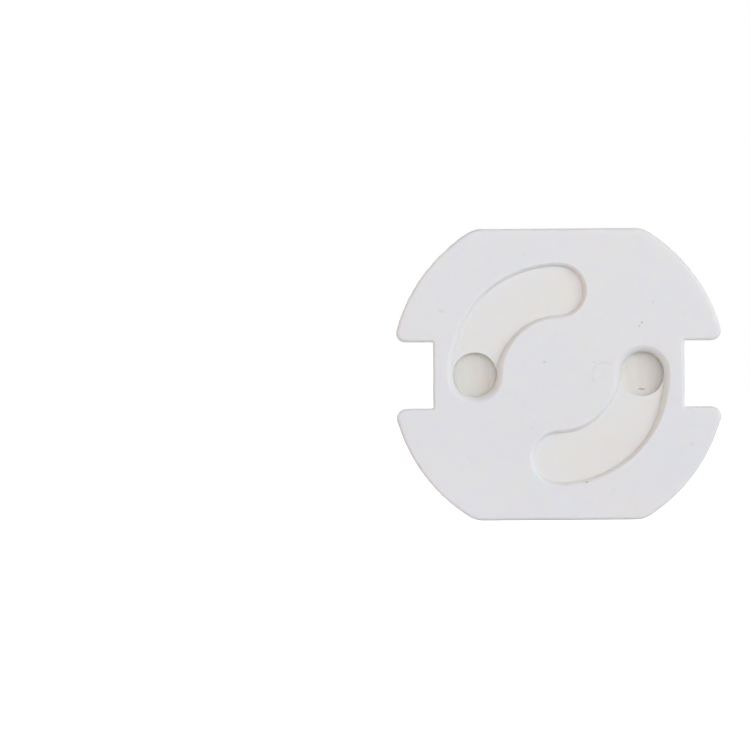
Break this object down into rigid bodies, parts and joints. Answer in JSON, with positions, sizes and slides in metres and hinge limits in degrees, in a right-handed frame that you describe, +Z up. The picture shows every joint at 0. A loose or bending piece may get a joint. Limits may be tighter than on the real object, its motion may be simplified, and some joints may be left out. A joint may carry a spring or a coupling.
{
  "type": "outlet safety cover",
  "caption": "Flat round child-safety cover for a recessed wall socket: side notches, a twist shutter behind two curved slots, and an adhesive back.",
  "frame": {"origin": "centre of the release liner's back face, on the shutter's axis", "axes": "+Y out of the adhesive back into the socket, -Y out of the slotted front, +Z up as fixed with the flats at top and bottom, +X to the right seen from the front"},
  "size_m": [0.0368, 0.0043, 0.033],
  "materials": {
    "shell_plastic": "fine satin moulded white plastic",
    "shutter_plastic": "fine satin moulded white plastic",
    "back_plastic": "satin moulded white plastic with faint tool lines",
    "tape_foam": "closed-cell foam tape, off-white, cut edges",
    "liner_film": "smooth white coated release liner with red printed bars"
  },
  "bodies": {
    "cover": {"front_shell": "shell_plastic", "back_plate": "back_plastic", "foam_tape": "tape_foam", "release_liner": "liner_film"},
    "shutter": {"shutter_disc": "shutter_plastic"}
  },
  "joints": [
    {"name": "shutter_turn", "type": "hinge", "parent": "cover", "child": "shutter", "pos_m": [0, -0.0028, 0], "axis": [0, 1, 0], "range_deg": [0, 90]}
  ]
}
